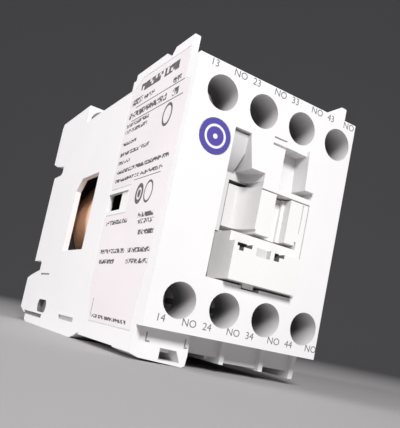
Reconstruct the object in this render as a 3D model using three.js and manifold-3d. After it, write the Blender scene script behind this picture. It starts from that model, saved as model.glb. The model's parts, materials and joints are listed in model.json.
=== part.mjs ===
// A four-pole contactor for a 35 mm top-hat rail, as an assembly of separate solids.
// Millimetres. X runs across the poles, Y from the front face (negative) to the rail, Z up.
// The origin is the middle of the face that seats on the rail.
import * as THREE from 'three';
import { mergeVertices } from 'three/addons/utils/BufferGeometryUtils.js';
import Module from 'manifold-3d';

const wasm = await Module();
wasm.setup();

// Overall size and the planes that the pieces share
const HALF_WIDTH = 22.5;
const NOSE_Y = -101.5;
const FACE_Y = -99.2;
const SEAM_Y = -62;
const REAR_Y = 5;
const FLOOR_Z = -36.1;
const FACE_LOW = -29;
const FACE_HIGH = 29;
const LIP_TOP = 34.6;
const BODY_TOP = 30.5;
const EAR_TOP = 36.3;
const TOWER_TOP = 44.9;
const BADGE = { at: [-15.2, 12.85], radius: 3.85 };
const WALL = 1.3;
const GAP = 0.1;

// Poles and their terminals
const PITCH = 11.06;
const POLES = [-1.5, -0.5, 0.5, 1.5].map((step) => 1.13 + step * PITCH);
const BAY = 4;
const TERMINAL_Z = 22.5;
const ACCESS_RADIUS = 3.85;
const CHAMBER = { front: -88.8, back: -76.5, inner: 17.9 };
const HEAD = { radius: 3.2, front: -86.6, back: -84 };
const CLAMP = { half: 3.4, front: -83.9, back: -82.3 };
const STRIP = { front: -82.2, thickness: 1.2, half: 3.1, outer: 27, bend: 17, tip: 6.2, rear: -67.3 };
const SHANK = { radius: 1.7, back: -77.6 };

// The sliding contact carrier
const BAR = { half: 20.9, front: -86, back: -73.6, height: 4.2 };
const WINDOW = { half: 3.5, front: -84.2, back: -75.5 };
const BRIDGE = { half: 3.1, front: -76.8, back: -75.6, reach: 10.2, tipZ: 7.8, tipBack: -74.9 };
const FIXED_TIP_FRONT = -69.1;
const STEM = { half: 7, back: -61.6 };

// The front recess: fixed floor and hooks above the split, the moving yoke below it
const RECESS = { low: -16.4, high: 16.7, left: -10.7, right: 13, floor: -92.6 };
const SPLIT = { left: 7.3, right: 5.9, at: -0.9 };
const POCKET = { shallow: -87, deep: -82.5, low: -15, left: -5.9, lowLeft: -6.9, step: -5 };
const YOKE = { left: -5.7, right: 12.75, high: 6.4, low: -14.7, back: -88.3 };
const SLIT = { low: -5.3, high: -4.4, left: -5.8, right: 11 };
const RIB = { left: -0.9, right: 3.3, high: 5.6 };
const CHEEK = { left: 7.6, floor: -96, groove: 11.3 };
const NOSE = { left: -6.7, right: 11.5, low: -15.9, high: -7.5 };

const TAB = { front: -75.2, back: -70.7, low: -2.6, high: 1.6 };

// The magnet, all round the Y axis
const ARMATURE = { half: 8.2, height: 22.2, front: -61, back: -57.5, plunger: 6.5, end: -46 };
const PIN_Y = -63.4;
const BOBBIN = { half: 18.9, front: -51.6, back: -17.4, flange: 1.8, tube: 11, bore: 9.8, step: -42, narrow: 7 };
const COIL_RADIUS = 18;
const CORE = { radius: 6.5, front: -40 };
const FRAME = { half: 8.2, inner: 19.2, outer: 22.5, front: -51.7, plate: 4 };
const CAVITY = { half: 20.9, height: 22.9, back: -11 };

// The rail latch and the screw feet
const LATCH = { half: 8, front: -6, back: 4.6, shelf: -18, block: -28, foot: -33 };
const LATCH_SPRING = { x: -2.5, y: -0.7, pocket: -22, low: -33.5 };
const SCREW_FOOT = { x: 17.7, high: 31.8, low: -28.2, head: 3.7, hole: 2.25 };
const EAR_FRONT = -24.9;
const EAR_INNER = 12.5;

// Coil terminals in the tower
const COIL_X = 5.2;
const COIL_Z = 38;
const TOWER = { half: 12.2, front: -59.6, back: -41.6 };
const COIL_HEAD = { radius: 2.8, front: -54.2, back: -52 };
const COIL_CLAMP = { half: 3, front: -51.9, back: -50.5 };
const COIL_STRIP = { front: -50.3, back: -49.3, half: 2.9, tail: 4.6, tailHalf: 1.1 };

const paint = (color, roughness = 0.5, metalness = 0) => ({ color, roughness, metalness });
const WHITE = paint(0xf1efec, 0.45);
const CREAM = paint(0xe6e2da, 0.5);
const STEEL = paint(0xb9bcc0, 0.35, 0.9);
const BRASS = paint(0xc9a451, 0.35, 0.9);
const SILVER = paint(0xd9dadb, 0.3, 0.95);
const IRON = paint(0x8d9094, 0.45, 0.8);
const COPPER = paint(0xc96a35, 0.45, 0.2);
const LABEL = paint(0xe7dde0, 0.6);
const BLUE = paint(0x2f3f9a, 0.4);
const RUBBER = paint(0x2a2a2c, 0.8);
const BLACK = paint(0x26262a, 0.5);
const SPRING = paint(0xa9adb2, 0.3, 0.95);

// ---- solids -------------------------------------------------------------------------

function solid(geometry) {
  geometry.deleteAttribute('normal');
  geometry.deleteAttribute('uv');
  const { array } = geometry.attributes.position;
  array.forEach((value, index) => {
    array[index] = Math.round(value * 1e4) / 1e4;
  });
  const merged = mergeVertices(geometry, 1e-4);
  const mesh = new wasm.Mesh({
    numProp: 3,
    vertProperties: new Float32Array(merged.attributes.position.array),
    triVerts: new Uint32Array(merged.index.array),
  });
  return new wasm.Manifold(mesh);
}

function block(x, y, z) {
  const geometry = new THREE.BoxGeometry(x[1] - x[0], y[1] - y[0], z[1] - z[0]);
  geometry.translate((x[0] + x[1]) / 2, (y[0] + y[1]) / 2, (z[0] + z[1]) / 2);
  return solid(geometry);
}

function outline(points) {
  return new THREE.Shape(points.map(([u, v]) => new THREE.Vector2(u, v)));
}

// A (y, z) outline pulled along X
function sidePrism(points, x) {
  const geometry = new THREE.ExtrudeGeometry(outline(points), { depth: x[1] - x[0], bevelEnabled: false });
  geometry.applyMatrix4(new THREE.Matrix4().set(0, 0, 1, x[0], 1, 0, 0, 0, 0, 1, 0, 0, 0, 0, 0, 1));
  return solid(geometry);
}

// An (x, z) outline pulled along Y
function facePrism(points, y) {
  const geometry = new THREE.ExtrudeGeometry(outline(points), { depth: y[1] - y[0], bevelEnabled: false });
  geometry.applyMatrix4(new THREE.Matrix4().set(1, 0, 0, 0, 0, 0, -1, y[1], 0, 1, 0, 0, 0, 0, 0, 1));
  return solid(geometry);
}

// An (x, y) outline pulled along Z
function upPrism(points, z) {
  const geometry = new THREE.ExtrudeGeometry(outline(points), { depth: z[1] - z[0], bevelEnabled: false });
  geometry.translate(0, 0, z[0]);
  return solid(geometry);
}

// A round bar along Y (or along Z when upright is set)
function rod(centre, radius, span, sides = 20, upright = false) {
  const geometry = new THREE.CylinderGeometry(radius, radius, span[1] - span[0], sides);
  const middle = (span[0] + span[1]) / 2;
  if (upright) {
    geometry.rotateX(Math.PI / 2);
    geometry.translate(centre[0], centre[1], middle);
  } else {
    geometry.translate(centre[0], middle, centre[1]);
  }
  return solid(geometry);
}

function join(pieces) {
  return pieces.reduce((whole, piece) => whole.add(piece));
}

function cut(body, pieces) {
  return pieces.reduce((rest, piece) => rest.subtract(piece), body);
}

const mirrored = (z, side) => (side > 0 ? z : [-z[1], -z[0]]);

class Helix extends THREE.Curve {
  constructor(radius, length, turns) {
    super();
    Object.assign(this, { radius, length, turns });
  }

  getPoint(t, target = new THREE.Vector3()) {
    const angle = t * this.turns * 2 * Math.PI;
    return target.set(this.radius * Math.cos(angle), this.radius * Math.sin(angle), t * this.length);
  }
}

// A compression spring standing on Z = 0
function helix({ radius, wire, length, turns, steps = 8 }) {
  const section = new THREE.Shape();
  section.absarc(0, 0, wire, 0, 2 * Math.PI);
  const path = new Helix(radius, length - 2 * wire, turns);
  const options = { steps: Math.round(turns * steps), curveSegments: 3, extrudePath: path };
  const geometry = new THREE.ExtrudeGeometry(section, options);
  geometry.translate(0, 0, wire);
  return solid(geometry);
}

// ---- mouldings ----------------------------------------------------------------------

function sideWallOutline(front, low) {
  return [
    [FACE_Y, FACE_LOW], [front - 0.6, FACE_LOW], [front, low], [SEAM_Y, low], [SEAM_Y, BODY_TOP],
    [-63.2, BODY_TOP], [-63.7, LIP_TOP], [-81.1, LIP_TOP], [-83.9, 32.7], [-85.7, LIP_TOP],
    [-94.5, LIP_TOP], [-94.9, LIP_TOP - 0.4], [-94.9, FACE_HIGH], [FACE_Y, FACE_HIGH],
  ];
}

// The loop under the left side that a marker clips into
function markerLoop() {
  const left = -HALF_WIDTH;
  const face = [
    [left, FACE_LOW + 1], [left, -34.8], [-20.4, -35.5], [-10, FLOOR_Z], [-9.3, -35.7], [-9.1, -33.5], [-9.4, FACE_LOW + 1],
  ];
  const loop = facePrism(face, [-95.6, -86]);
  const throat = facePrism([[-15.8, -32.8], [-11.9, -32.9], [-10.7, -35.3], [-15.8, -35.3]], [-99, -85]);
  const clipGaps = [[-19.6, -18.4], [-10.4, -9.4]].flatMap(([stem, foot]) => [
    block([stem, stem + 0.35], [-96, -94.8], [-31.9, -30]),
    block([stem, foot], [-96, -94.8], [-32.1, -31.75]),
  ]);
  return cut(loop, [throat, ...clipGaps]);
}

function poleCuts(x) {
  const cuts = [block([x - BAY, x + BAY], [-80.2, -66.9], [-CHAMBER.inner, CHAMBER.inner])];
  for (const side of [1, -1]) {
    cuts.push(rod([x, side * TERMINAL_Z], ACCESS_RADIUS, [FACE_Y - 1, CHAMBER.front + 1], 24));
    cuts.push(block([x - BAY, x + BAY], [CHAMBER.front, CHAMBER.back], mirrored([CHAMBER.inner, 40], side)));
    cuts.push(block([x - 3.4, x + 3.4], [-82.6, -66.9], mirrored([15.4, CHAMBER.inner + 0.1], side)));
  }
  return cuts;
}

function labelOutline(grow) {
  return [
    [-93.6 - grow, 32 + grow], [-68.7, 32.3 + grow], [-62.8 + grow, 29.6], [-62.8 + grow, 4],
    [-63.8, 3 - grow], [-76.4 + grow, 3 - grow], [-76.4 + grow, -4 + grow], [-63.8, -4 + grow],
    [-62.8 + grow, -5], [-63.4 + grow, -23], [-67.7, -30.5 - grow], [-93.6 - grow, -30.5 - grow],
    [-93.6 - grow, -26], [-96.6 - grow, -6], [-97.2 - grow, 23.7], [-94.3 - grow, 24.4],
  ];
}

function recessCuts() {
  const across = [RECESS.left, RECESS.right];
  const lowAcross = [POCKET.lowLeft, RECESS.right];
  return [
    block(across, [FACE_Y - 1, RECESS.floor], [RECESS.low, RECESS.high]),
    block([POCKET.left, SPLIT.at + 0.1], [RECESS.floor - 1, POCKET.deep], [POCKET.step, SPLIT.left]),
    block([SPLIT.at, RECESS.right], [RECESS.floor - 1, POCKET.deep], [POCKET.step, SPLIT.right]),
    block(lowAcross, [RECESS.floor - 1, POCKET.shallow], [RECESS.low, POCKET.step + 0.1]),
    block(lowAcross, [POCKET.shallow - 1, POCKET.deep], [POCKET.low, POCKET.step + 0.1]),
    block([-1.5, 3.4], [FACE_Y - 1, -91.8], [-17.1, RECESS.low + 1]),
    block([14, HALF_WIDTH - WALL], [-92.2, -86], [-40, -33]),
    block([-9, 0.5], [-92.2, -88], [-40, -32.9]),
  ];
}

// The small snap window above the recess and the slit beside it
function snapWindow() {
  return [
    block([-0.3, 3.4], [FACE_Y - 1, FACE_Y + 0.4], [16.3, 18.3]),
    block([-0.3, 3.4], [FACE_Y - 1, FACE_Y + 2], [16.3, 17]),
    block([3.3, 6.7], [FACE_Y - 1, FACE_Y + 1.5], [16.4, 16.8]),
  ];
}

// The fixed hooks in the recess that a front add-on block latches on to, and the sloped floor by the left one
function hookBlocks() {
  const back = RECESS.floor + 0.5;
  const top = RECESS.high + 0.5;
  const slope = [[-98.2, 16.3], [-96.4, 12.4], [-94, 9.8], [back, 8.6], [back, 16.3]];
  const ogee = [[-3.4, back], [-2.1, -93.4], [-1.3, -95.2], [-1, -97.4], [-0.9, FACE_Y], [0, FACE_Y], [0, back]];
  return [
    sidePrism(slope, [RECESS.left - 0.5, -5.6]),
    facePrism([[-4.7, 9.3], [-0.9, 9.3], [-0.9, top], [-6.4, top], [-6.4, 16.2]], [FACE_Y, back]),
    upPrism(ogee, [SPLIT.left + 0.2, 9.5]),
    block([SPLIT.at, RIB.right], [FACE_Y, back], [SPLIT.right, top]),
    block([RIB.right - 0.1, RECESS.right + 0.5], [FACE_Y, back], [SPLIT.right, 7.1]),
    block([RIB.right - 0.1, RECESS.right + 0.5], [-95.2, back], [7, top]),
    facePrism([[10, 8.6], [RECESS.right - 0.2, 8.6], [RECESS.right - 0.2, 17.9], [9.4, 17.9]], [FACE_Y - 1, -94.8]),
  ];
}

function frontHousing() {
  const walls = [
    sidePrism(sideWallOutline(-95.6, -34.6), [-HALF_WIDTH, WALL - HALF_WIDTH]),
    sidePrism(sideWallOutline(-92.6, -34.7), [HALF_WIDTH - WALL, HALF_WIDTH]),
  ];
  const partitions = POLES.slice(1).map((x) => {
    const middle = x - PITCH / 2;
    return block([middle - 0.6, middle + 0.6], [-93.2, SEAM_Y], [-34.2, FACE_LOW]);
  });
  const body = join([
    block([-HALF_WIDTH, HALF_WIDTH], [FACE_Y, SEAM_Y], [FACE_LOW, FACE_HIGH]),
    block([-HALF_WIDTH, HALF_WIDTH], [-91.6, SEAM_Y], [-33.8, FACE_LOW]),
    block([-HALF_WIDTH, HALF_WIDTH], [-87, SEAM_Y], [FACE_HIGH, 33]),
    markerLoop(), ...walls, ...partitions,
  ]);
  const cuts = [
    ...POLES.flatMap(poleCuts),
    ...recessCuts(),
    block([-21.5, 21.5], [-88, SEAM_Y + 1], [-5, 5]),
    ...[-1, 1].map((side) => block([side * 22 - 1, side * 22 + 1], [-75.5, -62.7], [-2.8, 1.8])),
    ...[-1, 1].map((side) => block([side * 17.5 - 3.5, side * 17.5 + 3.5], [-96, SEAM_Y + 1], [29, 40])),
    sidePrism(labelOutline(0.15), [-23, -22.25]),
    rod(BADGE.at, BADGE.radius + 0.15, [FACE_Y - 1, FACE_Y + 0.25], 24),
  ];
  return cut(join([cut(body, cuts), ...hookBlocks()]), snapWindow());
}

function baseOutline() {
  return [
    [SEAM_Y + GAP, -34.1], [-58.5, -35.4], [-55.5, FLOOR_Z], [-5.4, FLOOR_Z], [-3.4, -35.4], [-3.4, -33.2],
    [-0.9, -33.2], [REAR_Y, -31.6], [REAR_Y, -21.2], [-0.3, -19.9], [-9.6, -18.3], [-9.6, -15.7],
    [-8, -15.1], [0, -15.1], [0, 15.1], [-8, 15.1], [-9.2, 16], [-9.2, 18], [0, 19.4], [REAR_Y, 21],
    [REAR_Y, BODY_TOP], [SEAM_Y + GAP, BODY_TOP],
  ];
}

function earOutline() {
  return [[EAR_FRONT, 22], [REAR_Y, 22], [REAR_Y, 34.8], [REAR_Y - 1, EAR_TOP], [EAR_FRONT, EAR_TOP]];
}

function windowOutline() {
  return [[-49.7, -12.2], [-31.2, -12.2], [-31.2, 6.6], [-35, 10.1], [-49.7, 10.1]];
}

function towerCuts(x) {
  const tail = x + Math.sign(x) * COIL_STRIP.tail;
  const room = COIL_STRIP.tailHalf + 0.2;
  return [
    block([x - 3.9, x + 3.9], [-55, -45.6], [32.6, TOWER_TOP + 1]),
    rod([x, COIL_Z], 3.4, [TOWER.front - 1, -54.8], 20),
    block([tail - room, tail + room], [COIL_STRIP.front - 0.3, COIL_STRIP.back + 0.3], [CAVITY.height - 1, 34.7]),
  ];
}

function baseHousing() {
  const hook = [[1.3, 22], [1.3, 16.1], [2.4, 15.6], [3.6, 16.1], [4.9, 18], [4.9, 22]];
  const body = join([
    sidePrism(baseOutline(), [-HALF_WIDTH, HALF_WIDTH]),
    sidePrism(earOutline(), [-HALF_WIDTH, -EAR_INNER]),
    sidePrism(earOutline(), [EAR_INNER, HALF_WIDTH]),
    sidePrism(hook, [-12, 12]),
    block([-TOWER.half, TOWER.half], [TOWER.front, TOWER.back], [BODY_TOP - 1, TOWER_TOP]),
  ]);
  const feet = [-1, 1].flatMap((side) => [SCREW_FOOT.high, SCREW_FOOT.low].flatMap((z) => {
    const head = z > 0 ? SCREW_FOOT.head : SCREW_FOOT.head - 0.8;
    return [
      rod([side * SCREW_FOOT.x, z], head, [z > 0 ? -30 : -26, 1.5], 20),
      rod([side * SCREW_FOOT.x, z], SCREW_FOOT.hole, [0, REAR_Y + 1], 20),
    ];
  }));
  const latchWay = [
    block([-8.4, 8.4], [-6.4, REAR_Y + 1], [-33.6, -14]),
    block([3.2, 8.4], [-6.4, REAR_Y + 1], [FLOOR_Z - 1, -33]),
  ];
  const windows = [-1, 1].map((way) => sidePrism(windowOutline(), [way * 22 - 1.6, way * 22 + 1.6]));
  const driverWays = [-1, 1].map((way) => block([way * 17.5 - 3.4, way * 17.5 + 3.4], [-63, EAR_FRONT], [28.2, 40]));
  return cut(body, [
    block([-CAVITY.half, CAVITY.half], [-63, CAVITY.back], [-CAVITY.height, CAVITY.height]),
    block([-20.9, 20.9], [-63, -30], [24.8, 27]),
    block([-20.9, 20.9], [-63, -27.5], [-32.4, -24.6]),
    block([-23, 23], [-24, REAR_Y + 1], [-33.6, -32.4]).subtract(block([-24, 24], [-0.9, 7], [-34, -32])),
    ...windows, ...driverWays, ...feet, ...latchWay, ...towerCuts(COIL_X), ...towerCuts(-COIL_X),
    ...sideSlots(),
  ]);
}

// The long hole, the shallow slot and the nick low on the left side
function sideSlots() {
  const end = () => solid(new THREE.CylinderGeometry(2, 2, 3.2, 20).rotateZ(Math.PI / 2));
  return [
    end().translate([-22.5, -18.8, -29.8]),
    end().translate([-22.5, -25, -29.8]),
    block([-24.1, -20.9], [-25, -18.8], [-31.8, -27.8]),
    block([-23, -22], [-55.6, -42.1], [-32.2, -31]),
    block([-23, -22], [-22.5, -12], [-19.9, -19.3]),
  ];
}

// ---- moving group -------------------------------------------------------------------

// The face of the carrier: a slab with a rib, a stepped channel, a cheek and the proud nose
function frontYoke() {
  const seat = RECESS.floor + 0.1;
  const ogee = [[-3.4, seat], [-2.1, -93.4], [-1.3, -95.2], [-1, -97.4], [RIB.left, FACE_Y], [0, FACE_Y], [0, seat]];
  const cheek = [
    [3.2, seat], [3.2, CHEEK.floor], [6.8, CHEEK.floor], [6.8, -96.9], [CHEEK.left, -96.9], [CHEEK.left, FACE_Y],
    [YOKE.right, FACE_Y], [YOKE.right, seat],
  ];
  const body = join([
    block([YOKE.left, RIB.left], [RECESS.floor, YOKE.back], [POCKET.step, YOKE.high]),
    block([RIB.left - 1, YOKE.right], [RECESS.floor, YOKE.back], [POCKET.step, RIB.high]),
    block([NOSE.left, YOKE.right], [RECESS.floor, YOKE.back], [YOKE.low, POCKET.step - 0.2]),
    block([YOKE.left, YOKE.right], [RECESS.floor, YOKE.back], [POCKET.step - 0.4, POCKET.step + 0.1]),
    upPrism(ogee, [SLIT.high, YOKE.high]).subtract(block([RIB.left, 1], [-100, -90], [RIB.high, 10])),
    block([RIB.left + 0.1, RIB.right], [FACE_Y, seat], [SLIT.high, RIB.high]),
    upPrism(cheek, [SLIT.high, RIB.high]),
    block([SLIT.right, YOKE.right], [FACE_Y, seat], [NOSE.low, RIB.high]),
    block([NOSE.left, YOKE.right], [FACE_Y, seat], [NOSE.low, SLIT.low]),
    block([NOSE.left, NOSE.right], [NOSE_Y, FACE_Y + 0.1], [NOSE.low, NOSE.high]),
    block([-1.2, 1.7], [FACE_Y, FACE_Y + 1.5], [NOSE.low - 0.9, NOSE.low + 0.1]),
  ]);
  return cut(body, [
    block([SLIT.left, RIB.left + 0.3], [NOSE_Y - 1, -89.6], [SLIT.high - 0.3, SLIT.high + 0.9]),
    block([RIB.left, SLIT.right], [NOSE_Y - 1, -89.6], [SLIT.low, SLIT.high]),
    block([SLIT.right - 0.5, SLIT.right], [NOSE_Y - 1, -95], [SLIT.low, SLIT.high + 0.9]),
    block([CHEEK.groove - 0.15, CHEEK.groove + 0.15], [NOSE_Y - 1, FACE_Y + 0.6], [-1.4, 5.4]),
    ...noseNotches(),
  ]);
}

function noseNotches() {
  const high = NOSE.high + 0.1;
  return [
    block([-5.9, -2], [NOSE_Y - 1, -95.5], [-8.5, high]),
    block([-5.3, -4.1], [NOSE_Y - 1, -95.5], [-9.4, high]),
    block([-0.8, 3.1], [NOSE_Y - 1, FACE_Y - 0.6], [-9.6, high]),
    block([4.1, 6.9], [NOSE_Y - 1, -95.5], [-8.5, high]),
    block([4.1, 5.6], [NOSE_Y - 1, -95.5], [-9.5, high]),
  ];
}

function contactCarrier() {
  const stem = block([-STEM.half, STEM.half], [BAR.back - 1, STEM.back], [-BAR.height, BAR.height]);
  const body = join([
    block([-BAR.half, BAR.half], [BAR.front, BAR.back], [-BAR.height, BAR.height]),
    block([-5.6, 9], [YOKE.back - 0.5, BAR.front + 0.5], [-4.1, 4.4]),
    stem,
    frontYoke(),
    ...[-1, 1].map((side) => block([side * 21.3 - 0.8, side * 21.3 + 0.8], [TAB.front, TAB.back], [TAB.low, TAB.high])),
  ]);
  return cut(body, [
    ...POLES.map((x) => block([x - WINDOW.half, x + WINDOW.half], [WINDOW.front, WINDOW.back], [-6, 6])),
    block([-8, 8], [PIN_Y - 2.6, STEM.back + 1], [-1.7, 1.7]),
    rod([0, PIN_Y], 1.5, [-5, 5], 12, true),
  ]);
}

function movingContact(x) {
  const { half, front, back, reach, tipZ, tipBack } = BRIDGE;
  const tips = [-1, 1].map((side) => rod([x, side * tipZ], 1.9, [back - 0.5, tipBack], 10));
  return join([block([x - half, x + half], [front, back], [-reach, reach]), ...tips]);
}

function contactSpring(x) {
  const length = BRIDGE.front - WINDOW.front - 2 * GAP;
  const coil = helix({ radius: 2.1, wire: 0.35, length, turns: 4 });
  return coil.rotate([-90, 0, 0]).translate([x, WINDOW.front + GAP, 0]);
}

function armature() {
  const { half, height, front, back, plunger, end } = ARMATURE;
  const body = join([
    block([-half, half], [front, back], [-height, height]),
    rod([0, 0], plunger, [back - 1, end], 24),
    block([-5.5, 5.5], [PIN_Y - 2.2, front + 1], [-1.4, 1.4]),
  ]);
  return body.subtract(rod([0, PIN_Y], 1.5, [-5, 5], 12, true));
}

// ---- terminals ----------------------------------------------------------------------

function fixedContact(x, side) {
  const { front, thickness, half, outer, bend, tip, rear } = STRIP;
  const profile = [
    [front, outer], [front, bend - thickness], [rear - thickness, bend - thickness], [rear - thickness, tip],
    [rear, tip], [rear, bend], [front + thickness, bend], [front + thickness, outer],
  ];
  const strip = sidePrism(profile.map(([y, z]) => [y, side * z]), [x - half, x + half]);
  const button = rod([x, side * BRIDGE.tipZ], 1.9, [FIXED_TIP_FRONT, rear - 0.5], 10);
  return strip.add(button).subtract(rod([x, side * TERMINAL_Z], 2, [front - 1, front + 3], 8));
}

function screw({ x, z, radius, front, back, end, shank }) {
  const slot = [block([x - 0.5, x + 0.5], [front - 1, front + 1.1], [z - radius * 0.7, z + radius * 0.7]),
    block([x - radius * 0.7, x + radius * 0.7], [front - 1, front + 1.1], [z - 0.5, z + 0.5])];
  const body = rod([x, z], radius, [front, back], 14).add(rod([x, z], shank, [back - 0.5, end], 8));
  return cut(body, slot);
}

function clamp({ x, z, half, front, back }) {
  const plate = block([x - half, x + half], [front, back], [z - half, z + half]);
  const groove = block([x - half - 1, x + half + 1], [back - 0.4, back + 1], [z - 0.6, z + 0.6]);
  return cut(plate, [rod([x, z], 2, [front - 1, back + 1], 8), groove]);
}

function coilStrip(x) {
  const { front, back, half, tail, tailHalf } = COIL_STRIP;
  const middle = x + Math.sign(x) * tail;
  const plate = block([x - half, x + half], [front, back], [33, 43]);
  const arm = block([middle - tail / 2, middle + tail / 2].map((end) => end - Math.sign(x) * 1.2), [front, back], [33, 34.4]);
  const leg = block([middle - tailHalf, middle + tailHalf], [front, back], [BOBBIN.half + 0.4, 34.4]);
  return join([plate, arm, leg]).subtract(rod([x, COIL_Z], 1.9, [front - 1, back + 1], 8));
}

// ---- magnet -------------------------------------------------------------------------

function coilBobbin() {
  const { half, front, back, flange, tube, bore, step, narrow } = BOBBIN;
  const body = join([
    block([-half, half], [front, front + flange], [-half, half]),
    block([-half, half], [back - flange, back], [-half, half]),
    rod([0, 0], tube, [front + 1, back - 1], 28),
  ]);
  return cut(body, [rod([0, 0], bore, [front - 1, step], 24), rod([0, 0], narrow, [step - 1, back + 1], 24)]);
}

function coilWinding() {
  const span = [BOBBIN.front + BOBBIN.flange + GAP, BOBBIN.back - BOBBIN.flange - GAP];
  return rod([0, 0], COIL_RADIUS, span, 48).subtract(rod([0, 0], BOBBIN.tube + 0.2, [-50, -10], 28));
}

function magnetYoke() {
  const back = BOBBIN.back + 0.2;
  const legs = [-1, 1].map((side) => {
    return block([-FRAME.half, FRAME.half], [FRAME.front, back + FRAME.plate], mirrored([FRAME.inner, FRAME.outer], side));
  });
  return join([block([-FRAME.half, FRAME.half], [back, back + FRAME.plate], [-FRAME.outer, FRAME.outer]), ...legs]);
}

function dinLatch() {
  const { half, front, back, shelf, block: low, foot } = LATCH;
  const profile = [[front, low], [back, low], [back, shelf - 0.6], [3, -15.7], [1.4, -16.1], [1.4, shelf], [front, shelf]];
  const body = join([
    sidePrism(profile, [-half, half]),
    block([3.6, half], [front, back], [foot, low + 1]),
  ]);
  return body.subtract(rod([LATCH_SPRING.x, LATCH_SPRING.y], 2.9, [low - 1, LATCH_SPRING.pocket], 16, true));
}

function latchSpring() {
  const length = LATCH_SPRING.pocket - LATCH_SPRING.low - 2 * GAP;
  const coil = helix({ radius: 2.1, wire: 0.35, length, turns: 6 });
  return coil.translate([LATCH_SPRING.x, LATCH_SPRING.y, LATCH_SPRING.low + GAP]);
}

function returnSpring() {
  const length = BOBBIN.step - ARMATURE.back - 2 * GAP;
  const coil = helix({ radius: 8.1, wire: 0.55, length, turns: 4, steps: 12 });
  return coil.rotate([-90, 0, 0]).translate([0, ARMATURE.back + GAP, 0]);
}

// ---- assembly -----------------------------------------------------------------------

const contactor = new THREE.Group();

function place(name, body, { color, roughness, metalness }) {
  const mesh = body.getMesh();
  const geometry = new THREE.BufferGeometry();
  geometry.setAttribute('position', new THREE.BufferAttribute(new Float32Array(mesh.vertProperties), 3));
  geometry.setIndex(new THREE.BufferAttribute(new Uint32Array(mesh.triVerts), 1));
  geometry.computeVertexNormals();
  const piece = new THREE.Mesh(geometry, new THREE.MeshStandardMaterial({ color, roughness, metalness }));
  piece.name = name;
  contactor.add(piece);
}

place('front_housing', frontHousing(), WHITE);
place('base_housing', baseHousing(), WHITE);
place('rating_label', sidePrism(labelOutline(0), [-HALF_WIDTH, -22.32]), LABEL);
place('front_badge', rod(BADGE.at, BADGE.radius, [FACE_Y - 0.05, FACE_Y + 0.2], 24), BLUE);
place('contact_carrier', contactCarrier(), CREAM);
place('armature', armature(), IRON);
place('armature_pin', rod([0, PIN_Y], 1.2, [-4, 4], 12, true), STEEL);
place('fixed_core', rod([0, 0], CORE.radius, [CORE.front, BOBBIN.back + 0.1], 24), IRON);
place('magnet_yoke', magnetYoke(), IRON);
place('coil_bobbin', coilBobbin(), BLACK);
place('coil_winding', coilWinding(), COPPER);
place('return_spring', returnSpring(), SPRING);
place('buffer_pad', block([-9, 9], [-13, -11.1], [-14, 14]), RUBBER);
place('din_latch', dinLatch(), WHITE);
place('latch_spring', latchSpring(), SPRING);

POLES.forEach((x, index) => {
  const pole = index + 1;
  place(`moving_contact_${pole}`, movingContact(x), BRASS);
  place(`contact_spring_${pole}`, contactSpring(x), SPRING);
  for (const [row, side] of [['top', 1], ['bottom', -1]]) {
    const z = side * TERMINAL_Z;
    const ends = { front: HEAD.front, back: HEAD.back, end: SHANK.back };
    place(`fixed_contact_${row}_${pole}`, fixedContact(x, side), BRASS);
    place(`terminal_screw_${row}_${pole}`, screw({ x, z, radius: HEAD.radius, shank: SHANK.radius, ...ends }), STEEL);
    place(`wire_clamp_${row}_${pole}`, clamp({ x, z, ...CLAMP }), SILVER);
  }
});

for (const [name, x] of [['a1', -COIL_X], ['a2', COIL_X]]) {
  const ends = { front: COIL_HEAD.front, back: COIL_HEAD.back, end: -46.4 };
  place(`coil_strip_${name}`, coilStrip(x), BRASS);
  place(`coil_screw_${name}`, screw({ x, z: COIL_Z, radius: COIL_HEAD.radius, shank: 1.5, ...ends }), STEEL);
  place(`coil_clamp_${name}`, clamp({ x, z: COIL_Z, ...COIL_CLAMP }), SILVER);
}

export default contactor;
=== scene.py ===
"""Looks for a four-pole contactor: rounded mouldings, printed film, metal parts and a studio stage."""

import json
import math

import bpy
from mathutils import Matrix, Vector

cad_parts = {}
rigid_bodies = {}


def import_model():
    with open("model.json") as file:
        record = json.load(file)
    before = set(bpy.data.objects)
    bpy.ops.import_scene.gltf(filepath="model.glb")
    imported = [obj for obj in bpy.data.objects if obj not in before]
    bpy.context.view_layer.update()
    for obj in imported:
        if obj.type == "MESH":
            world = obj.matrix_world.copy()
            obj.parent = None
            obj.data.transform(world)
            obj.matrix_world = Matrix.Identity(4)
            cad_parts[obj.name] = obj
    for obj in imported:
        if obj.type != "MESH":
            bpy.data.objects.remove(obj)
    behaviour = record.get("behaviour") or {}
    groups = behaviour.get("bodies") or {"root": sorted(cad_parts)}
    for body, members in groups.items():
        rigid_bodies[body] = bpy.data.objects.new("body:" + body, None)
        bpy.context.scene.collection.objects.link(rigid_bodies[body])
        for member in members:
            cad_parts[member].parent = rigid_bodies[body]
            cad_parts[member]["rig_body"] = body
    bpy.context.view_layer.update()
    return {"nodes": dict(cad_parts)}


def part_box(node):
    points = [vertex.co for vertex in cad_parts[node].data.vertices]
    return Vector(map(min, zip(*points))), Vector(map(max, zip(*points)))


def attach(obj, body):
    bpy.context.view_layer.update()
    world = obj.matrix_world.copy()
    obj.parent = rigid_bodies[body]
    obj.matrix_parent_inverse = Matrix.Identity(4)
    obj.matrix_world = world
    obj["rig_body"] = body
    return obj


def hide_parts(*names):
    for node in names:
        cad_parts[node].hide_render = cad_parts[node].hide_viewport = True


bl_info = {
    "name": "Contactor looks",
    "version": (1, 0, 0),
    "blender": (4, 5, 0),
    "location": "View3D > Sidebar > Contactor",
    "description": "Builds the finished looks of a four-pole contactor round its packed frame",
    "category": "Object",
}

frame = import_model()

MM = 0.001
POLES = ("1", "2", "3", "4")
ROWS = ("top", "bottom")
PITCH = 11.06 * MM

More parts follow.
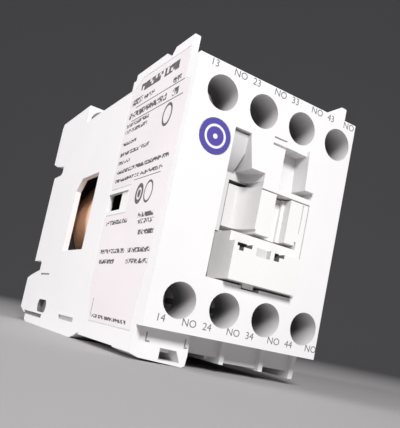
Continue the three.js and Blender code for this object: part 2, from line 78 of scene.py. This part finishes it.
# The camera's own axes and place in the frame, in metres
CAMERA_RIGHT = Vector((0.844324, -0.497070, 0.200097))
CAMERA_DOWN = Vector((0.227258, -0.005992, -0.973816))
CAMERA_AHEAD = Vector((0.485253, 0.867690, 0.107903))
CAMERA_PLACE = Vector((-0.069433, -0.201377, -0.028118))
CAMERA_SHIFT = 0.1308
SENSOR_WIDTH = 36.0

# The backdrop, in metres
FLOOR_SIZE = 8.0
FLOOR_TURN = -0.51
WALL_HEIGHT = 5.0
SWEEP_RADIUS = 2.5

# Depth behind the face plane, in millimetres, at which the painted shade in the wells begins
WELL_START = -98.7
BADGE_CENTRE = (-15.2, 12.85, 0.0)


# ---- settings a user would change ---------------------------------------------------


class MouldingSettings(bpy.types.PropertyGroup):
    edge_radius: bpy.props.FloatProperty(
        name="Edge radius",
        description="Radius on the outer edges of the mouldings",
        default=0.22 * MM,
        min=0.0,
        unit="LENGTH",
    )
    colour: bpy.props.FloatVectorProperty(
        name="Housing colour",
        description="Colour of the two housings and the rail latch",
        default=(0.80, 0.785, 0.79),
        subtype="COLOR",
    )
    carrier_colour: bpy.props.FloatVectorProperty(
        name="Carrier colour",
        description="Colour of the sliding contact carrier",
        default=(0.80, 0.78, 0.775),
        subtype="COLOR",
    )


class PrintSettings(bpy.types.PropertyGroup):
    film: bpy.props.FloatVectorProperty(
        name="Film colour",
        description="Ground colour of the rating label",
        default=(0.80, 0.745, 0.76),
        subtype="COLOR",
    )
    ink: bpy.props.FloatVectorProperty(
        name="Ink colour",
        description="Colour of the printed marks",
        default=(0.035, 0.03, 0.035),
        subtype="COLOR",
    )
    badge: bpy.props.FloatVectorProperty(
        name="Badge colour",
        description="Colour of the round badge on the face",
        default=(0.085, 0.07, 0.34),
        subtype="COLOR",
    )
    number_height: bpy.props.FloatProperty(
        name="Number height",
        description="Height of the terminal numbers on the face",
        default=1.62 * MM,
        unit="LENGTH",
    )


class MetalSettings(bpy.types.PropertyGroup):
    steel: bpy.props.FloatVectorProperty(
        name="Steel colour",
        description="Colour of the plated screws and clamps",
        default=(0.60, 0.61, 0.63),
        subtype="COLOR",
    )
    brass: bpy.props.FloatVectorProperty(
        name="Brass colour",
        description="Colour of the contact strips and bridges",
        default=(0.72, 0.52, 0.22),
        subtype="COLOR",
    )
    tape: bpy.props.FloatVectorProperty(
        name="Coil colour",
        description="Colour of the taped winding",
        default=(0.93, 0.52, 0.35),
        subtype="COLOR",
    )


class StageSettings(bpy.types.PropertyGroup):
    floor: bpy.props.FloatVectorProperty(
        name="Floor colour",
        description="Colour of the floor and the backdrop",
        default=(0.40, 0.385, 0.39),
        subtype="COLOR",
    )
    key_power: bpy.props.FloatProperty(
        name="Key light",
        description="Power of the soft light in front",
        default=8.2,
        unit="POWER",
    )
    focal_length: bpy.props.FloatProperty(
        name="Focal length",
        description="Focal length of the camera",
        default=47.68,
        unit="CAMERA",
    )


# ---- shader maths -------------------------------------------------------------------


class Signal:
    """A node output that takes part in ordinary arithmetic."""

    def __init__(self, finish, socket):
        self.finish = finish
        self.socket = socket

    def math(self, operation, first, second=0.0):
        return self.finish.node("ShaderNodeMath", {"operation": operation}, {0: first, 1: second})

    def __add__(self, other):
        return self.math("ADD", self, other)

    __radd__ = __add__

    def __sub__(self, other):
        return self.math("SUBTRACT", self, other)

    def __rsub__(self, other):
        return self.math("SUBTRACT", other, self)

    def __mul__(self, other):
        return self.math("MULTIPLY", self, other)

    __rmul__ = __mul__

    def __lt__(self, other):
        return self.math("LESS_THAN", self, other)

    def __gt__(self, other):
        return self.math("GREATER_THAN", self, other)

    def __abs__(self):
        return self.math("ABSOLUTE", self)

    def floor(self):
        return self.math("FLOOR", self)

    def higher(self, other):
        return self.math("MAXIMUM", self, other)

    def lower(self, other):
        return self.math("MINIMUM", self, other)


class Finish:
    """A material built round one principled surface, read in object coordinates."""

    def __init__(self, name, **constants):
        self.material = bpy.data.materials.new(name)
        self.material.use_nodes = True
        self.tree = self.material.node_tree
        self.surface = self.tree.nodes["Principled BSDF"]
        for socket, value in constants.items():
            self.surface.inputs[socket.replace("_", " ")].default_value = value
        self.place = self.node("ShaderNodeTexCoord", {}, {}, "Object")

    def node(self, kind, settings, values, output=0):
        made = self.tree.nodes.new(kind)
        for name, value in settings.items():
            setattr(made, name, value)
        for socket, value in values.items():
            self.feed(made.inputs[socket], value)
        return Signal(self, made.outputs[output])

    def feed(self, socket, value):
        if isinstance(value, Signal):
            self.tree.links.new(value.socket, socket)
        else:
            socket.default_value = value

    def drive(self, socket, value):
        self.feed(self.surface.inputs[socket], value)

    def axes(self):
        """The x, y and z of the place on the piece, in millimetres."""
        scaled = self.node("ShaderNodeVectorMath", {"operation": "SCALE"}, {0: self.place, "Scale": 1000.0})
        return [self.node("ShaderNodeSeparateXYZ", {}, {0: scaled}, axis) for axis in range(3)]

    def noise(self, scale, detail=2.0, stretch=(1.0, 1.0, 1.0)):
        moved = self.node("ShaderNodeMapping", {}, {"Vector": self.place, "Scale": stretch})
        return self.node("ShaderNodeTexNoise", {}, {"Vector": moved, "Scale": scale, "Detail": detail}, "Fac")

    def spread(self, signal, low, high):
        """Runs a 0 to 1 signal between two values."""
        return low + signal * (high - low)

    def blend(self, share, first, second):
        first = first if isinstance(first, Signal) else (*first, 1.0)
        second = second if isinstance(second, Signal) else (*second, 1.0)
        return self.node(
            "ShaderNodeMix", {"data_type": "RGBA"}, {0: share, 6: first, 7: second}, 2
        )

    def distance(self, first, second):
        return self.node("ShaderNodeVectorMath", {"operation": "DISTANCE"}, {0: first, 1: second}, "Value")

    def bump(self, height, strength, distance=0.05 * MM):
        values = {"Height": height, "Strength": strength, "Distance": distance}
        self.drive("Normal", self.node("ShaderNodeBump", {}, values))


def moulded_plastic(name, colour, roughness=0.42, grain=0.16, painted_shade=None):
    """Satin moulded plastic: faint flow marks, a fine eroded grain, uneven gloss and painted shade in the
    wells.
    """
    finish = Finish(name, Specular_IOR_Level=0.45)
    cloud = finish.noise(45.0, 3.0)
    grit = finish.noise(5200.0, 2.0)
    shade = [channel * 0.955 for channel in colour]
    tone = finish.blend(cloud, shade, [min(1.0, channel * 1.03) for channel in colour])
    # Painted shade: where the mask is high the colour falls towards 0.16 of itself, standing in for the shade
    # deep in wells, slits and holes.
    if painted_shade:
        tone = finish.blend(painted_shade(finish), tone, [channel * 0.16 for channel in colour])
    finish.drive("Base Color", tone)
    finish.drive("Roughness", finish.spread(finish.noise(400.0), roughness - 0.05, roughness + 0.07))
    finish.bump(grit, grain)
    return finish.material


def within(across, up, boxes):
    """1 inside any of several rectangles, each left, right, low and high in millimetres."""
    inside = None
    for left, right, low, high in boxes:
        area = box_mask(across, up, left, right, low, high)
        inside = area if inside is None else inside.higher(area)
    return inside


def front_well_shade(finish):
    """Painted shade: grows with depth behind the face, inside the screw wells, and less so in the recess."""
    x, y, z = finish.axes()
    here = finish.node("ShaderNodeCombineXYZ", {}, {0: x, 1: z})
    wells = None
    for pole in POLES:
        for row in ROWS:
            low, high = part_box(f"terminal_screw_{row}_{pole}")
            middle = (low + high) / (2 * MM)
            centre = (middle.x, middle.z, 0.0)
            well = finish.distance(here, centre) < 4.05
            wells = well if wells is None else wells.higher(well)
    deep = ((y - WELL_START) * 0.13).higher(0.0).lower(0.92)
    recess = box_mask(x, z, -10.8, 13.1, -17.2, 16.8)
    shallow = ((y - WELL_START) * 0.05).higher(0.0).lower(0.3).higher((y > -92.35) * 0.88)
    return (deep * wells).higher(shallow * recess) * (y < -70.0)


def nose_slit_shade(finish):
    """Painted shade inside the small slits along the top of the nose, and in the gaps round the carrier."""
    x, y, z = finish.axes()
    slits = within(x, z, [(-5.95, -1.95, -8.55, -7.3), (-5.35, -4.05, -9.45, -8.5),
                          (4.05, 6.95, -8.55, -7.3), (4.05, 5.65, -9.55, -8.5)])
    dip = box_mask(x, z, -0.85, 3.15, -9.65, -7.3)
    notches = (slits * 0.92).higher(dip * 0.3) * (y > -101.3) * (y < -93.0)
    shallow = ((y - WELL_START) * 0.04).higher(0.0).lower(0.25)
    return notches.higher(shallow * (y < -80.0))


def foot_slot_shade(finish):
    """Painted shade inside the fixing slots through the side walls of the rail foot."""
    x, y, z = finish.axes()
    hole = (abs(y + 18.0) < 10.5) * (abs(z + 29.8) < 2.6)
    slot = (abs(y + 48.8) < 7.0) * (abs(z + 31.6) < 0.7)
    nick = (abs(y + 17.2) < 5.4) * (abs(z + 19.6) < 0.5)
    return (hole * 0.97).higher(slot * 0.5).higher(nick * 0.5) * (abs(x) < 22.42)


def plated_metal(name, colour, roughness=0.28, stretch=(1.0, 1.0, 1.0)):
    """Stamped or turned metal with drawn marks along it and a little tarnish."""
    finish = Finish(name, Metallic=1.0)
    marks = finish.noise(900.0, 4.0, stretch)
    tarnish = finish.noise(260.0, 3.0)
    dark = [channel * 0.72 for channel in colour]
    finish.drive("Base Color", finish.blend(tarnish, dark, colour))
    finish.drive("Roughness", finish.spread(marks, roughness - 0.06, roughness + 0.18))
    finish.bump(marks, 0.12)
    return finish.material


def taped_winding(name, colour):
    """Film tape over a winding: the turns show through as fine ridges, with one overlap."""
    finish = Finish(name, Coat_Roughness=0.12, Coat_Weight=0.5)
    x, y, z = finish.axes()
    turns = finish.node("ShaderNodeMath", {"operation": "SINE"}, {0: y * 15.0})
    cloud = finish.noise(120.0, 3.0, (1.0, 2.5, 1.0))
    pale = [min(1.0, channel * 1.12 + 0.10) for channel in colour]
    lapped = (y + 37.5) > 0.0
    tone = finish.blend(cloud, colour, pale)
    finish.drive("Base Color", finish.blend(lapped * 0.22, tone, (0.90, 0.52, 0.25)))
    finish.drive("Roughness", finish.spread(cloud, 0.30, 0.48))
    finish.bump(turns * 0.5 + lapped * 0.6, 0.35, 0.12 * MM)
    return finish.material


def ground_iron(name, colour):
    """Magnet iron: laminated edges on the sides and a light oil film."""
    finish = Finish(name, Metallic=1.0)
    x, y, z = finish.axes()
    sheets = finish.node("ShaderNodeMath", {"operation": "SINE"}, {0: x * 12.0})
    stain = finish.noise(180.0, 4.0)
    finish.drive("Base Color", finish.blend(stain, [channel * 0.6 for channel in colour], colour))
    finish.drive("Roughness", finish.spread(stain, 0.34, 0.56))
    finish.bump(sheets, 0.10)
    return finish.material


def printed_ink(name, colour):
    """Pad-printed ink with slightly worn cover."""
    finish = Finish(name)
    wear = finish.noise(2600.0, 3.0)
    finish.drive("Base Color", finish.blend(wear, colour, [channel + 0.10 for channel in colour]))
    finish.drive("Roughness", finish.spread(wear, 0.45, 0.62))
    return finish.material


def box_mask(across, up, left, right, low, high):
    """1 inside a rectangle on the piece, given in millimetres."""
    middle = (left + right) / 2
    level = (low + high) / 2
    outside = (abs(across - middle) - abs(right - left) / 2).higher(abs(up - level) - (high - low) / 2)
    return outside < 0.0


def rating_film(name, ground, ink):
    """Printed film: rules, a heading, rows of small marks, rings and a disc. None of it is lettering."""
    finish = Finish(name, Coat_Weight=0.25, Coat_Roughness=0.2)
    x, y, z = finish.axes()
    front = -1.0 * y
    column = (front * 2.1).floor()
    line = (z * 2.9).floor()
    cell = finish.node("ShaderNodeCombineXYZ", {}, {0: column, 1: line})
    chance = finish.node("ShaderNodeTexWhiteNoise", {"noise_dimensions": "3D"}, {"Vector": cell})
    word = finish.node("ShaderNodeTexWhiteNoise", {"noise_dimensions": "1D"}, {"W": (front * 0.34).floor()})
    marks = (chance > 0.36) * (word > 0.16)
    rows = [
        (72.0, 78.0, 25.5, 26.6), (88.0, 92.0, 24.9, 26.3), (64.5, 71.0, 25.3, 27.1),
        (64.5, 86.0, 21.8, 23.4), (89.0, 92.0, 21.6, 23.4),
        (63.8, 78.0, 19.5, 20.5), (63.8, 77.5, 17.8, 18.8), (64.2, 73.3, 14.5, 15.4),
        (64.2, 81.8, 11.7, 12.7), (64.2, 71.5, 9.5, 10.4), (64.4, 94.2, 6.9, 7.9), (64.8, 92.2, 4.6, 5.5),
        (65.0, 78.7, -6.6, -5.5), (84.6, 92.8, -5.9, -4.8),
        (85.2, 93.6, -7.4, -6.3), (86.6, 94.6, -9.9, -8.8),
        (65.4, 81.2, -13.9, -12.8), (83.0, 95.0, -13.9, -12.8),
        (66.0, 76.0, -16.4, -15.3), (83.2, 95.0, -16.4, -15.3), (68.8, 90.6, -29.6, -28.8),
    ]
    printed = None
    for left, right, low, high in rows:
        area = box_mask(front, z, left, right, low, high)
        printed = area if printed is None else printed.higher(area)
    printed = printed * marks
    column, line = (front * 0.95).floor(), (z * 1.25).floor()
    block = finish.node("ShaderNodeCombineXYZ", {}, {0: column, 1: line, 2: 7.0})
    bold = finish.node("ShaderNodeTexWhiteNoise", {"noise_dimensions": "3D"}, {"Vector": block})
    heading = box_mask(front, z, 68.6, 89.6, 28.3, 30.5) * (bold > 0.28)
    rules = box_mask(front, z, 67.5, 94.0, 24.35, 24.6)
    rules = rules.higher(box_mask(front, z, 66.5, 94.6, 20.85, 21.1))
    rules = rules.higher(box_mask(front, z, 77.5, 91.8, 3.75, 3.95))
    rules = rules.higher(box_mask(front, z, 68.0, 68.3, -29.4, -25.0))

    def reach(along, level):
        here = finish.node("ShaderNodeCombineXYZ", {}, {0: front, 1: z * 0.86})
        return finish.distance(here, (along, level * 0.86, 0.0))

    disc = reach(82.4, 0.0) < 2.15
    disc = disc - (abs(reach(82.4, 0.0) - 1.05) < 0.22) * 1.0
    ring = abs(reach(87.4, 0.0) - 2.05) < 0.24
    seal = abs(reach(88.6, 17.6) - 2.1) < 0.30
    cover = printed.higher(heading).higher(rules).higher(disc).higher(ring).higher(seal)
    worn = finish.noise(900.0, 3.0)
    cloud = finish.noise(38.0, 2.0)
    pale = [min(1.0, channel * 1.10) for channel in ground]
    film = finish.blend(cloud, [channel * 0.90 for channel in ground], pale)
    finish.drive("Base Color", finish.blend(cover * finish.spread(worn, 0.80, 1.0), film, ink))
    finish.drive("Roughness", finish.spread(worn, 0.40, 0.52))
    return finish.material


def badge_print(name, colour):
    """A plain round badge with a pale ring near its rim."""
    finish = Finish(name, Coat_Weight=0.4, Coat_Roughness=0.15)
    x, y, z = finish.axes()
    flat = finish.node("ShaderNodeCombineXYZ", {}, {0: x, 1: z})
    reach = finish.distance(flat, BADGE_CENTRE)
    ring = abs(reach - 2.35) < 0.26
    dot = reach < 0.55
    finish.drive("Base Color", finish.blend(ring.higher(dot), colour, (0.80, 0.80, 0.84)))
    finish.drive("Roughness", finish.spread(finish.noise(900.0), 0.26, 0.38))
    return finish.material


# ---- mesh helpers -------------------------------------------------------------------


def clear_selection():
    if bpy.context.object and bpy.context.object.mode != "OBJECT":
        bpy.ops.object.mode_set(mode="OBJECT")
    bpy.ops.object.select_all(action="DESELECT")


def pick(piece):
    clear_selection()
    piece.select_set(True)
    bpy.context.view_layer.objects.active = piece


def dress(piece, material):
    piece.data.materials.clear()
    piece.data.materials.append(material)


def settle(piece, node):
    """The piece stands for a frame node and moves with its body."""
    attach(piece, frame["nodes"][node]["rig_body"])
    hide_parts(node)


def soften(node, name, material, radius, segments=2, angle=32.0):
    """A welded copy of a frame node with its flat seams cleared and its edges rounded."""
    source = frame["nodes"][node]
    piece = bpy.data.objects.new(name, source.data.copy())
    bpy.context.scene.collection.objects.link(piece)
    pick(piece)
    bpy.ops.object.mode_set(mode="EDIT")
    bpy.ops.mesh.select_all(action="SELECT")
    bpy.ops.mesh.remove_doubles(threshold=0.002 * MM)
    bpy.ops.mesh.dissolve_limited(angle_limit=math.radians(0.6))
    bpy.ops.object.mode_set(mode="OBJECT")
    if radius > 0.0:
        rounding = piece.modifiers.new("Rounded edges", "BEVEL")
        rounding.width = radius
        rounding.segments = segments
        rounding.limit_method = "ANGLE"
        rounding.angle_limit = math.radians(angle)
        rounding.use_clamp_overlap = True
        bpy.ops.object.modifier_apply(modifier=rounding.name)
        bpy.ops.object.mode_set(mode="EDIT")
        bpy.ops.mesh.select_all(action="SELECT")
        bpy.ops.mesh.dissolve_degenerate(threshold=0.002 * MM)
        bpy.ops.object.mode_set(mode="OBJECT")
    bpy.ops.object.shade_smooth_by_angle(angle=math.radians(40.0))
    evening = piece.modifiers.new("Flat faces stay flat", "WEIGHTED_NORMAL")
    evening.keep_sharp = True
    evening.weight = 100
    bpy.ops.object.modifier_apply(modifier=evening.name)
    dress(piece, material)
    settle(piece, node)
    return piece


class CONTACTOR_OT_mouldings(bpy.types.Operator):
    """Round the two housings, the carrier and the rail latch and give them satin plastic with painted shade
    in their wells, slits and holes
    """

    bl_idname = "contactor.mouldings"
    bl_label = "Mouldings"

    def execute(self, context):
        settings = context.scene.contactor_mouldings
        # The masks passed below paint shade into the plastic's colour inside wells, slits and holes.
        front = moulded_plastic("Front cover plastic", settings.colour, painted_shade=front_well_shade)
        white = moulded_plastic("Rear cover plastic", settings.colour, painted_shade=foot_slot_shade)
        cream = moulded_plastic("Carrier plastic", settings.carrier_colour, 0.38, painted_shade=nose_slit_shade)
        radius = settings.edge_radius
        soften("front_housing", "front_cover", front, radius)
        soften("base_housing", "rear_cover", white, radius)
        soften("din_latch", "rail_foot", white, radius)
        soften("contact_carrier", "sliding_yoke", cream, radius * 0.7)
        return {"FINISHED"}


class CONTACTOR_OT_rating_label(bpy.types.Operator):
    """Print the rating label and the round badge"""

    bl_idname = "contactor.rating_label"
    bl_label = "Label and badge"

    def execute(self, context):
        settings = context.scene.contactor_print
        film = rating_film("Rating film", settings.film, settings.ink)
        dress(frame["nodes"]["rating_label"], film)
        badge = badge_print("Badge print", settings.badge)
        soften("front_badge", "round_badge", badge, 0.06 * MM)
        return {"FINISHED"}


class CONTACTOR_OT_terminal_numbers(bpy.types.Operator):
    """Print the terminal numbers and NO marks on the face"""

    bl_idname = "contactor.terminal_numbers"
    bl_label = "Terminal numbers"

    def execute(self, context):
        settings = context.scene.contactor_print
        ink = printed_ink("Number ink", (0.10, 0.095, 0.10))
        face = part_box("front_badge")[0].y + 0.04 * MM
        marks = []
        rows = (("3", 27.95 * MM, -18.7 * MM), ("4", -26.75 * MM, -18.95 * MM))
        for row, (ending, level, start) in enumerate(rows):
            for index in range(4):
                middle = start + index * PITCH
                marks.append((f"{index + 1}{ending}", middle, level))
                shift = 6.7 * MM if index < 3 or row else 5.9 * MM
                marks.append(("NO", middle + shift, level))
        pieces = [self.mark(text, x, face, z, settings.number_height) for text, x, z in marks]
        clear_selection()
        for piece in pieces:
            piece.select_set(True)
        bpy.context.view_layer.objects.active = pieces[0]
        bpy.ops.object.join()
        prints = bpy.context.object
        prints.name = "terminal_numbers"
        dress(prints, ink)
        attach(prints, "housing")
        return {"FINISHED"}

    def mark(self, text, x, y, z, height):
        clear_selection()
        bpy.ops.object.text_add(location=(0.0, 0.0, 0.0))
        piece = bpy.context.object
        piece.data.body = text
        piece.data.align_x = "CENTER"
        piece.data.align_y = "CENTER"
        piece.data.size = height * 1.38
        piece.data.extrude = 0.01 * MM
        piece.data.resolution_u = 3
        bpy.ops.object.convert(target="MESH")
        piece = bpy.context.object
        piece.data.transform(Matrix.Translation((x, y, z)) @ Matrix.Rotation(math.pi / 2, 4, "X"))
        return piece


class CONTACTOR_OT_coil(bpy.types.Operator):
    """Tape the winding, blacken the bobbin and finish the magnet iron"""

    bl_idname = "contactor.coil"
    bl_label = "Coil and magnet"

    def execute(self, context):
        settings = context.scene.contactor_metal
        tape = taped_winding("Taped winding", settings.tape)
        black = moulded_plastic("Bobbin plastic", (0.022, 0.022, 0.025), 0.46)
        iron = ground_iron("Magnet iron", (0.40, 0.41, 0.43))
        soften("coil_winding", "taped_coil", tape, 0.5 * MM)
        soften("coil_bobbin", "coil_former", black, 0.2 * MM)
        soften("magnet_yoke", "magnet_frame", iron, 0.3 * MM)
        soften("armature", "armature_plate", iron, 0.25 * MM)
        soften("fixed_core", "magnet_core", iron, 0.25 * MM)
        rubber = moulded_plastic("Pad rubber", (0.02, 0.02, 0.02), 0.7, 0.3)
        soften("buffer_pad", "stop_pad", rubber, 0.3 * MM)
        return {"FINISHED"}


class CONTACTOR_OT_metalwork(bpy.types.Operator):
    """Finish the contacts, clamps, screws, springs and the armature pin"""

    bl_idname = "contactor.metalwork"
    bl_label = "Contacts and terminals"

    def execute(self, context):
        settings = context.scene.contactor_metal
        brass = plated_metal("Contact brass", settings.brass, 0.26, (1.0, 1.0, 8.0))
        zinc = plated_metal("Screw zinc", settings.steel, 0.24)
        tin = plated_metal("Clamp tin", [channel * 1.1 for channel in settings.steel], 0.3, (6.0, 1.0, 1.0))
        wire = plated_metal("Spring wire", [channel * 0.9 for channel in settings.steel], 0.22)
        fine = 0.08 * MM
        for pole in POLES:
            soften(f"moving_contact_{pole}", f"bridge_{pole}", brass, fine)
            for row in ROWS:
                end = f"{row}_{pole}"
                soften(f"fixed_contact_{end}", f"strip_{end}", brass, fine)
                soften(f"terminal_screw_{end}", f"screw_{end}", zinc, fine)
                soften(f"wire_clamp_{end}", f"clamp_{end}", tin, fine)
        for end in ("a1", "a2"):
            soften(f"coil_strip_{end}", f"coil_tag_{end}", brass, fine)
            soften(f"coil_screw_{end}", f"coil_terminal_screw_{end}", zinc, fine)
            soften(f"coil_clamp_{end}", f"coil_terminal_clamp_{end}", tin, fine)
        soften("armature_pin", "cross_pin", zinc, fine)
        springs = ["return_spring", "latch_spring"] + [f"contact_spring_{pole}" for pole in POLES]
        for node in springs:
            dress(frame["nodes"][node], wire)
        return {"FINISHED"}


class CONTACTOR_OT_stage(bpy.types.Operator):
    """Set out the floor, the soft lights and the camera"""

    bl_idname = "contactor.stage"
    bl_label = "Stage"

    def execute(self, context):
        settings = context.scene.contactor_stage
        self.backdrop(settings)
        self.light("Key", (-0.26, -0.74, 0.42), 0.22, settings.key_power)
        self.light("Side", (-0.70, 0.16, 0.16), 0.30, settings.key_power * 0.46)
        world = bpy.data.worlds.new("Studio")
        world.use_nodes = True
        world.node_tree.nodes["Background"].inputs["Color"].default_value = (0.82, 0.84, 0.88, 1.0)
        world.node_tree.nodes["Background"].inputs["Strength"].default_value = 0.16
        context.scene.world = world
        context.scene.view_settings.view_transform = "Standard"
        self.camera(context, settings)
        return {"FINISHED"}

    def backdrop(self, settings):
        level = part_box("base_housing")[0].z
        clear_selection()
        place = (0.0, 0.0, level)
        bpy.ops.mesh.primitive_plane_add(size=FLOOR_SIZE, location=place, rotation=(0.0, 0.0, FLOOR_TURN))
        floor = bpy.context.object
        floor.name = "Floor"
        bpy.ops.object.mode_set(mode="EDIT")
        bpy.ops.mesh.select_all(action="DESELECT")
        bpy.ops.object.mode_set(mode="OBJECT")
        for edge in floor.data.edges:
            ends = [floor.data.vertices[index].co.y for index in edge.vertices]
            edge.select = min(ends) > 3.0
        bpy.ops.object.mode_set(mode="EDIT")
        bpy.ops.mesh.select_mode(type="EDGE")
        bpy.ops.mesh.extrude_region_move(TRANSFORM_OT_translate={"value": (0.0, 0.0, WALL_HEIGHT)})
        bpy.ops.mesh.select_all(action="SELECT")
        bpy.ops.object.mode_set(mode="OBJECT")
        sweep = floor.modifiers.new("Sweep", "BEVEL")
        sweep.width = SWEEP_RADIUS
        sweep.segments = 24
        sweep.limit_method = "ANGLE"
        bpy.ops.object.modifier_apply(modifier=sweep.name)
        bpy.ops.object.shade_smooth()
        finish = Finish("Floor paper")
        cloud = finish.noise(3.0, 2.0)
        finish.drive("Base Color", finish.blend(cloud, [c * 0.97 for c in settings.floor], settings.floor))
        finish.drive("Roughness", finish.spread(cloud, 0.75, 0.85))
        dress(floor, finish.material)

    def light(self, name, place, size, power):
        clear_selection()
        bpy.ops.object.light_add(type="AREA", location=place)
        lamp = bpy.context.object
        lamp.name = name
        lamp.data.size = size
        lamp.data.energy = power
        aim = Vector((0.0, -0.06, 0.0)) - Vector(place)
        lamp.rotation_euler = aim.to_track_quat("-Z", "Y").to_euler()

    def camera(self, context, settings):
        turn = Matrix((CAMERA_RIGHT, -CAMERA_DOWN, -CAMERA_AHEAD)).transposed().to_4x4()
        clear_selection()
        bpy.ops.object.camera_add()
        camera = bpy.context.object
        camera.matrix_world = Matrix.Translation(CAMERA_PLACE) @ turn
        camera.data.lens = settings.focal_length
        camera.data.sensor_width = SENSOR_WIDTH
        camera.data.shift_y = CAMERA_SHIFT
        camera.data.clip_start = 0.005
        context.scene.camera = camera


class CONTACTOR_PT_parts(bpy.types.Panel):
    bl_idname = "CONTACTOR_PT_parts"
    bl_label = "Contactor"
    bl_space_type = "VIEW_3D"
    bl_region_type = "UI"
    bl_category = "Contactor"

    def draw(self, context):
        for group in ("contactor_mouldings", "contactor_print", "contactor_metal", "contactor_stage"):
            box = self.layout.box()
            settings = getattr(context.scene, group)
            for name in settings.__annotations__:
                box.prop(settings, name)
        for operator in OPERATORS:
            self.layout.operator(operator.bl_idname)


SETTINGS = {
    "contactor_mouldings": MouldingSettings,
    "contactor_print": PrintSettings,
    "contactor_metal": MetalSettings,
    "contactor_stage": StageSettings,
}
OPERATORS = (
    CONTACTOR_OT_mouldings,
    CONTACTOR_OT_rating_label,
    CONTACTOR_OT_terminal_numbers,
    CONTACTOR_OT_coil,
    CONTACTOR_OT_metalwork,
    CONTACTOR_OT_stage,
)


def register():
    for settings in SETTINGS.values():
        bpy.utils.register_class(settings)
    for name, settings in SETTINGS.items():
        setattr(bpy.types.Scene, name, bpy.props.PointerProperty(type=settings))
    for operator in OPERATORS:
        bpy.utils.register_class(operator)
    bpy.utils.register_class(CONTACTOR_PT_parts)


def unregister():
    bpy.utils.unregister_class(CONTACTOR_PT_parts)
    for operator in reversed(OPERATORS):
        bpy.utils.unregister_class(operator)
    for name, settings in SETTINGS.items():
        delattr(bpy.types.Scene, name)
        bpy.utils.unregister_class(settings)


def main():
    register()
    clear_selection()
    bpy.ops.contactor.mouldings()
    bpy.ops.contactor.rating_label()
    bpy.ops.contactor.terminal_numbers()
    bpy.ops.contactor.coil()
    bpy.ops.contactor.metalwork()
    bpy.ops.contactor.stage()


if __name__ == "__main__":
    main()
